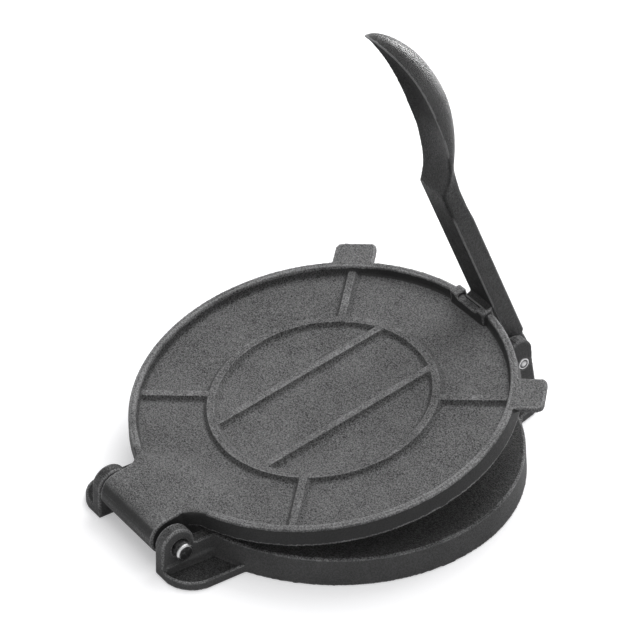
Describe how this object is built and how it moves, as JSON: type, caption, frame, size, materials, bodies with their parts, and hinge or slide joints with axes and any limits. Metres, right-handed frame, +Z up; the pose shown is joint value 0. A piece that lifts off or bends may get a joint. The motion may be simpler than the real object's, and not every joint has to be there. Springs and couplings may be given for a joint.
{
  "type": "tortilla press",
  "caption": "Cast-iron tortilla press: two round hinged plates, the lid ribbed and tabbed, with a lever on a clevis that leans on the lid and squeezes the plates shut.",
  "frame": {"origin": "centre of the base disc, on the face that the press stands on", "axes": "+Z up, +Y from the hinge to the lever, +X along both pins; the press stands as pictured, its lid part open and its lever leaning on the lid"},
  "size_m": [0.2076, 0.2509, 0.2531],
  "materials": {
    "base_iron": "dark seasoned cast iron, sand-cast grain, smoother on its side walls",
    "lid_iron": "dark grey seasoned cast iron with a fine sand-cast grain",
    "lever_iron": "dark seasoned cast iron, satin on the handle",
    "pin_steel": "bright turned steel"
  },
  "bodies": {
    "base_body": {"base": "base_iron", "hinge_pin": "pin_steel", "lever_pin": "pin_steel"},
    "lid_body": {"lid": "lid_iron"},
    "lever_body": {"lever": "lever_iron"}
  },
  "joints": [
    {"name": "lid_hinge", "type": "hinge", "parent": "base_body", "child": "lid_body", "pos_m": [0, -0.11625, 0.0157], "axis": [1, 0, 0], "range_deg": [-10.8, 169]},
    {"name": "lever_pivot", "type": "hinge", "parent": "base_body", "child": "lever_body", "pos_m": [0, 0.1125, 0.0285], "axis": [1, 0, 0], "range_deg": [-113, 0]}
  ]
}
